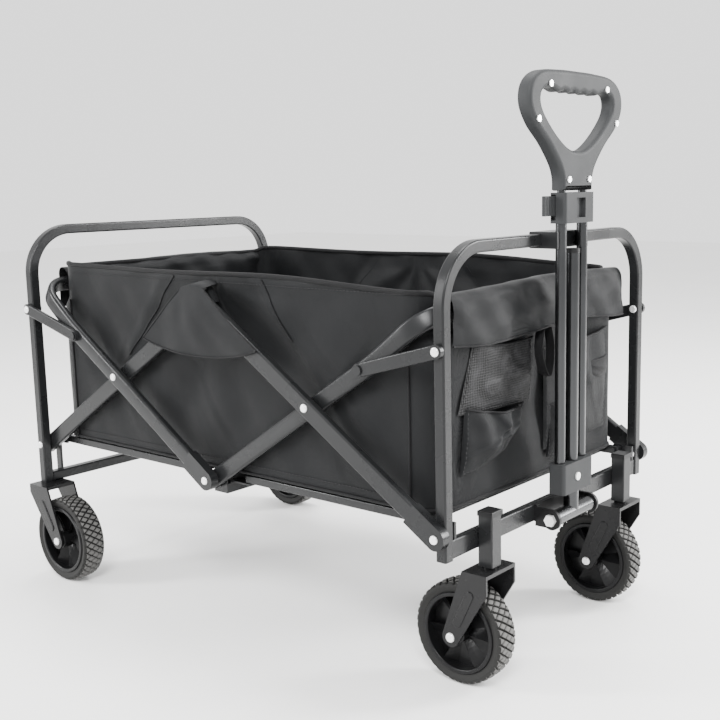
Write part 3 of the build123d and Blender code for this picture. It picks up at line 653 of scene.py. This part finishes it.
# ---- rail sleeves: cloth over the cross rails with an outer flap ----
def rail_sleeve(name, end_x, way, flap_low, top, reach, node):
    """Rolled cloth round a cross rail; outside, a flap hangs from the roll."""
    rail_x, out = end_x + way * RAIL_DX, -way
    low_z, high_z = RAIL_Z, top - 0.0145
    section = [(rail_x - out * 0.0120, 0.462), (rail_x - out * 0.0145, 0.480)]
    for t in np.linspace(0, 1, 5)[1:]:
        section.append((rail_x - out * (0.0155 + 0.001 * t), low_z + (high_z - low_z) * t))
    for a in np.linspace(0.1, math.pi * 0.96, 18):
        section.append((rail_x - out * 0.0162 * math.cos(a), high_z + 0.0145 * math.sin(a)))
    for t in np.linspace(0.05, 1, 24):
        hang_x = rail_x + out * (0.0160 + 0.0035 * math.sin(t * 2.2))
        section.append((hang_x, high_z - (high_z - flap_low) * t))
    near, far = sorted(abs(v) for v in reach)
    ys = np.linspace(*reach, 130)
    pts = np.zeros((len(ys), len(section), 3))
    for i, y in enumerate(ys):
        for j, (sx, sz) in enumerate(section):
            drop = max(0.0, (j - 23) / 24)
            wave = 0.0030 * math.sin(y * 40 + 1.1) * drop + 0.0016 * math.sin(y * 97 + sz * 80)
            wave += 0.0012 * math.sin(y * 31 - sz * 150)
            pull = 0.005 * math.sin(y * 17 + 0.5) * drop
            slump = 0.0035 * math.sin(y * 11 + 0.9) * float(smoothstep(0.495, 0.515, sz))
            ends = 1 - float(smoothstep(near - 0.02, far, abs(y))) * 0.25
            x = rail_x + (sx - rail_x) * ends + out * max(wave, -0.002)
            pts[i, j] = (x, y, sz + pull + slump)
    obj = grid_object(name, pts, "cloth", "basket")
    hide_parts(node)
    rolls.append(tube_object(f"{name}_hem", pts[:, -1], 0.0015, "trim", "basket"))
    return obj


rolls = []
sleeve_front = rail_sleeve("rail_roll_front", FRONT_X, -1, 0.452, 0.5195, (-0.212, 0.224),
                           "rail_sleeve_front")
sleeve_rear = rail_sleeve("rail_roll_rear", REAR_X, 1, 0.455, 0.5235, (-0.218, 0.220),
                          "rail_sleeve_rear")
trims += rolls


# ---- hinge caps ----
def hinge_cap(name, sign):
    """Cover sewn to the wall's top edge, pulled out over the bars and open below."""
    s_values, t_values = np.linspace(-1, 1, 61), np.linspace(0, 1, 40)
    pts = np.zeros((len(s_values), len(t_values), 3))
    for i, s in enumerate(s_values):
        for j, t in enumerate(t_values):
            low_x, low_z = s * 0.121 + 0.001, 0.4125 + 0.0135 * s * s + 0.004 * abs(s) ** 6
            top_x, top_z = s * 0.0185 - 0.009, 0.5185 - 0.005 * s * s
            px = top_x + (low_x - top_x) * t ** 1.04
            pz = top_z + (low_z - top_z) * t
            out = 0.2355 + 0.0330 * float(smoothstep(0, 0.05, t)) + 0.0035 * float(smoothstep(0.05, 0.4, t))
            fold = 0.0010 * math.sin(6 * s + 3 * t) + 0.0005 * math.sin(11 * s - 7 * t)
            out += fold * float(smoothstep(0.1, 0.6, t)) + 0.003 * (1 - s * s) * math.sin(math.pi * t)
            pts[i, j] = (MID_X + px, sign * out, pz)
    return grid_object(name, pts, "cloth", "basket"), pts


caps = []
for hand, sign in (("right", -1), ("left", 1)):
    cap, cap_points = hinge_cap(f"hinge_cover_{hand}", sign)
    caps.append(cap)
    trims.append(tube_object(f"hinge_cover_hem_{hand}", cap_points[:, -1], 0.0014, "trim", "basket"))
    trims.append(tube_object(f"hinge_cover_edge_a_{hand}", cap_points[0, 4:], 0.0012, "trim", "basket"))
    trims.append(tube_object(f"hinge_cover_edge_b_{hand}", cap_points[-1, 4:], 0.0012, "trim", "basket"))
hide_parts("hinge_caps")


# ---- front pockets ----
WALL_FRONT = FRONT_X - WALL_DX


def patch(name, corners, bulge, kind, node=None, gather=0.0, slouch=0.0):
    """Sewn-on pocket: corners (y, z) from lower left anticlockwise, bulging off the wall."""
    (a, b, c, d) = [np.array(p, float) for p in corners]
    n, m = 70, 60
    pts = np.zeros((n, m, 3))
    for i, u in enumerate(np.linspace(0, 1, n)):
        for j, v in enumerate(np.linspace(0, 1, m)):
            yz = (1 - u) * (1 - v) * a + u * (1 - v) * b + u * v * c + (1 - u) * v * d
            rise = (math.sin(math.pi * u) ** 0.5) * (math.sin(math.pi * (0.04 + 0.80 * v)) ** 0.6)
            ripple = gather * math.sin(u * 19 + 5 * v) * v + 0.0009 * math.sin(9 * u + 14 * v)
            rising = float(ridge(np.array(u - 0.30 - 0.35 * v), 0.035))
            level = float(ridge(np.array(v - 0.25 - 0.4 * u), 0.05))
            ripple += gather * rising + gather * level
            ripple -= 0.8 * gather * float(ridge(np.array(u + 0.5 * v - 0.85), 0.045))
            drop = slouch * math.sin(math.pi * u) * v * v
            pts[i, j] = (WALL_FRONT + 0.0015 + bulge * max(rise, 0) + ripple * rise, yz[0], yz[1] - drop)
    obj = grid_object(name, pts, kind, "basket")
    if node:
        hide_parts(node)
    trims.append(tube_object(f"{name}_hem", pts[:, -1], 0.0018, "trim", "basket"))
    pocket_edges.extend([pts[2], pts[-3], pts[:, 2]])
    return obj


pocket_edges = []
pockets = [
    patch("mesh_pouch", [(-0.190, 0.360), (-0.022, 0.350), (-0.016, 0.440), (-0.158, 0.446)],
          0.006, "mesh", "mesh_pocket", 0.0012, 0.004),
    patch("flap_pouch", [(-0.188, 0.280), (-0.085, 0.296), (-0.040, 0.352), (-0.176, 0.366)],
          0.021, "cloth", "flap_pocket", 0.0050, 0.007),
    patch("side_pouch", [(0.012, 0.274), (0.186, 0.278), (0.190, 0.430), (0.012, 0.420)],
          0.011, "cloth", "side_pocket", 0.0026, 0.003),
    patch("strap_patch", [(0.120, 0.352), (0.188, 0.354), (0.188, 0.386), (0.120, 0.384)],
          0.0135, "trim"),
    patch("lower_pouch", [(0.020, 0.262), (0.100, 0.264), (0.100, 0.345), (0.020, 0.338)],
          0.0150, "cloth", None, 0.002, 0.002),
]
trims.append(stitches("pocket_stitches", pocket_edges))
loop_path = catmull([(-0.012, 0.452), (-0.020, 0.425), (-0.014, 0.398), (-0.002, 0.385),
                     (0.006, 0.400), (0.010, 0.428), (0.006, 0.452)], closed=False, steps=8)
loop_x = WALL_FRONT + 0.012 + 0.004 * np.sin(np.linspace(0, np.pi, len(loop_path)))
loop_pts = np.stack([loop_x, loop_path[:, 0], loop_path[:, 1]], 1)
webbing = rounded_section(0.014, 0.0016, 0.0007, 2)
strap = sweep_object("pull_loop", loop_pts, (1, 0, 0), webbing, "trim", "basket")
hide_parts("pull_strap")

soft = [floor_obj, sleeve_front, sleeve_rear, *caps, *trims, *pockets, strap]
for obj in [wall_obj, *soft]:
    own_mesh(obj)

# ---- floor, light and camera ----
ground = bpy.data.meshes.new("studio_floor")
ground.from_pydata([(-9, -9, 0), (9, -9, 0), (9, 9, 0), (-9, 9, 0)], [], [(0, 1, 2, 3)])
floor = bpy.data.objects.new("studio_floor", ground)
bpy.context.scene.collection.objects.link(floor)
mat, nodes, links, shader = new_material("studio_white")
veins = noise(nodes, links, 1.6, 7.0, 0.6)
pale = tint(nodes, links, veins.outputs["Fac"], (0.86, 0.855, 0.84), (0.93, 0.93, 0.925))
links.new(pale, shader.inputs["Base Color"])
shader.inputs["Roughness"].default_value = 0.45
ground.materials.append(mat)

world = bpy.data.worlds.new("studio")
bpy.context.scene.world = world
world.use_nodes = True
world.node_tree.nodes["Background"].inputs["Color"].default_value = (1, 1, 1, 1)
world.node_tree.nodes["Background"].inputs["Strength"].default_value = 1.8


def area_light(name, at, toward, size, power):
    light = bpy.data.lights.new(name, "AREA")
    light.shape = "RECTANGLE"
    light.size, light.size_y = size
    light.energy = power
    obj = bpy.data.objects.new(name, light)
    obj.location = at
    obj.rotation_euler = (Vector(toward) - Vector(at)).to_track_quat("-Z", "Y").to_euler()
    bpy.context.scene.collection.objects.link(obj)


area_light("key", (1.8, -2.2, 2.7), (0, 0, 0.3), (1.0, 1.0), 190)
area_light("left_strip", (-2.2, -2.4, 1.5), (0, 0, 0.35), (0.5, 2.0), 150)
area_light("right_strip", (2.3, 2.3, 1.5), (0.1, 0, 0.35), (0.7, 2.0), 240)
area_light("top", (0.0, 0.6, 3.2), (0, 0, 0.3), (2.4, 0.9), 120)

cam_data = bpy.data.cameras.new("camera")
camera = bpy.data.objects.new("camera", cam_data)
bpy.context.scene.collection.objects.link(camera)
yaw, pitch, roll = math.radians(127.856), math.radians(-9.372), math.radians(-0.796)
forward = Vector((math.cos(pitch) * math.cos(yaw), math.cos(pitch) * math.sin(yaw), math.sin(pitch)))
right = Vector((math.sin(yaw), -math.cos(yaw), 0))
up = right.cross(forward)
right_r = math.cos(roll) * right + math.sin(roll) * up
up_r = -math.sin(roll) * right + math.cos(roll) * up
turn = Matrix((right_r, up_r, -forward)).transposed().to_4x4()
camera.matrix_world = Matrix.Translation((1.1762, -1.2588, 0.6544)) @ turn
cam_data.sensor_width = 36.0
cam_data.lens = 53.92
cam_data.shift_x = -0.1031
cam_data.shift_y = -0.0026
cam_data.clip_end = 60
bpy.context.scene.camera = camera
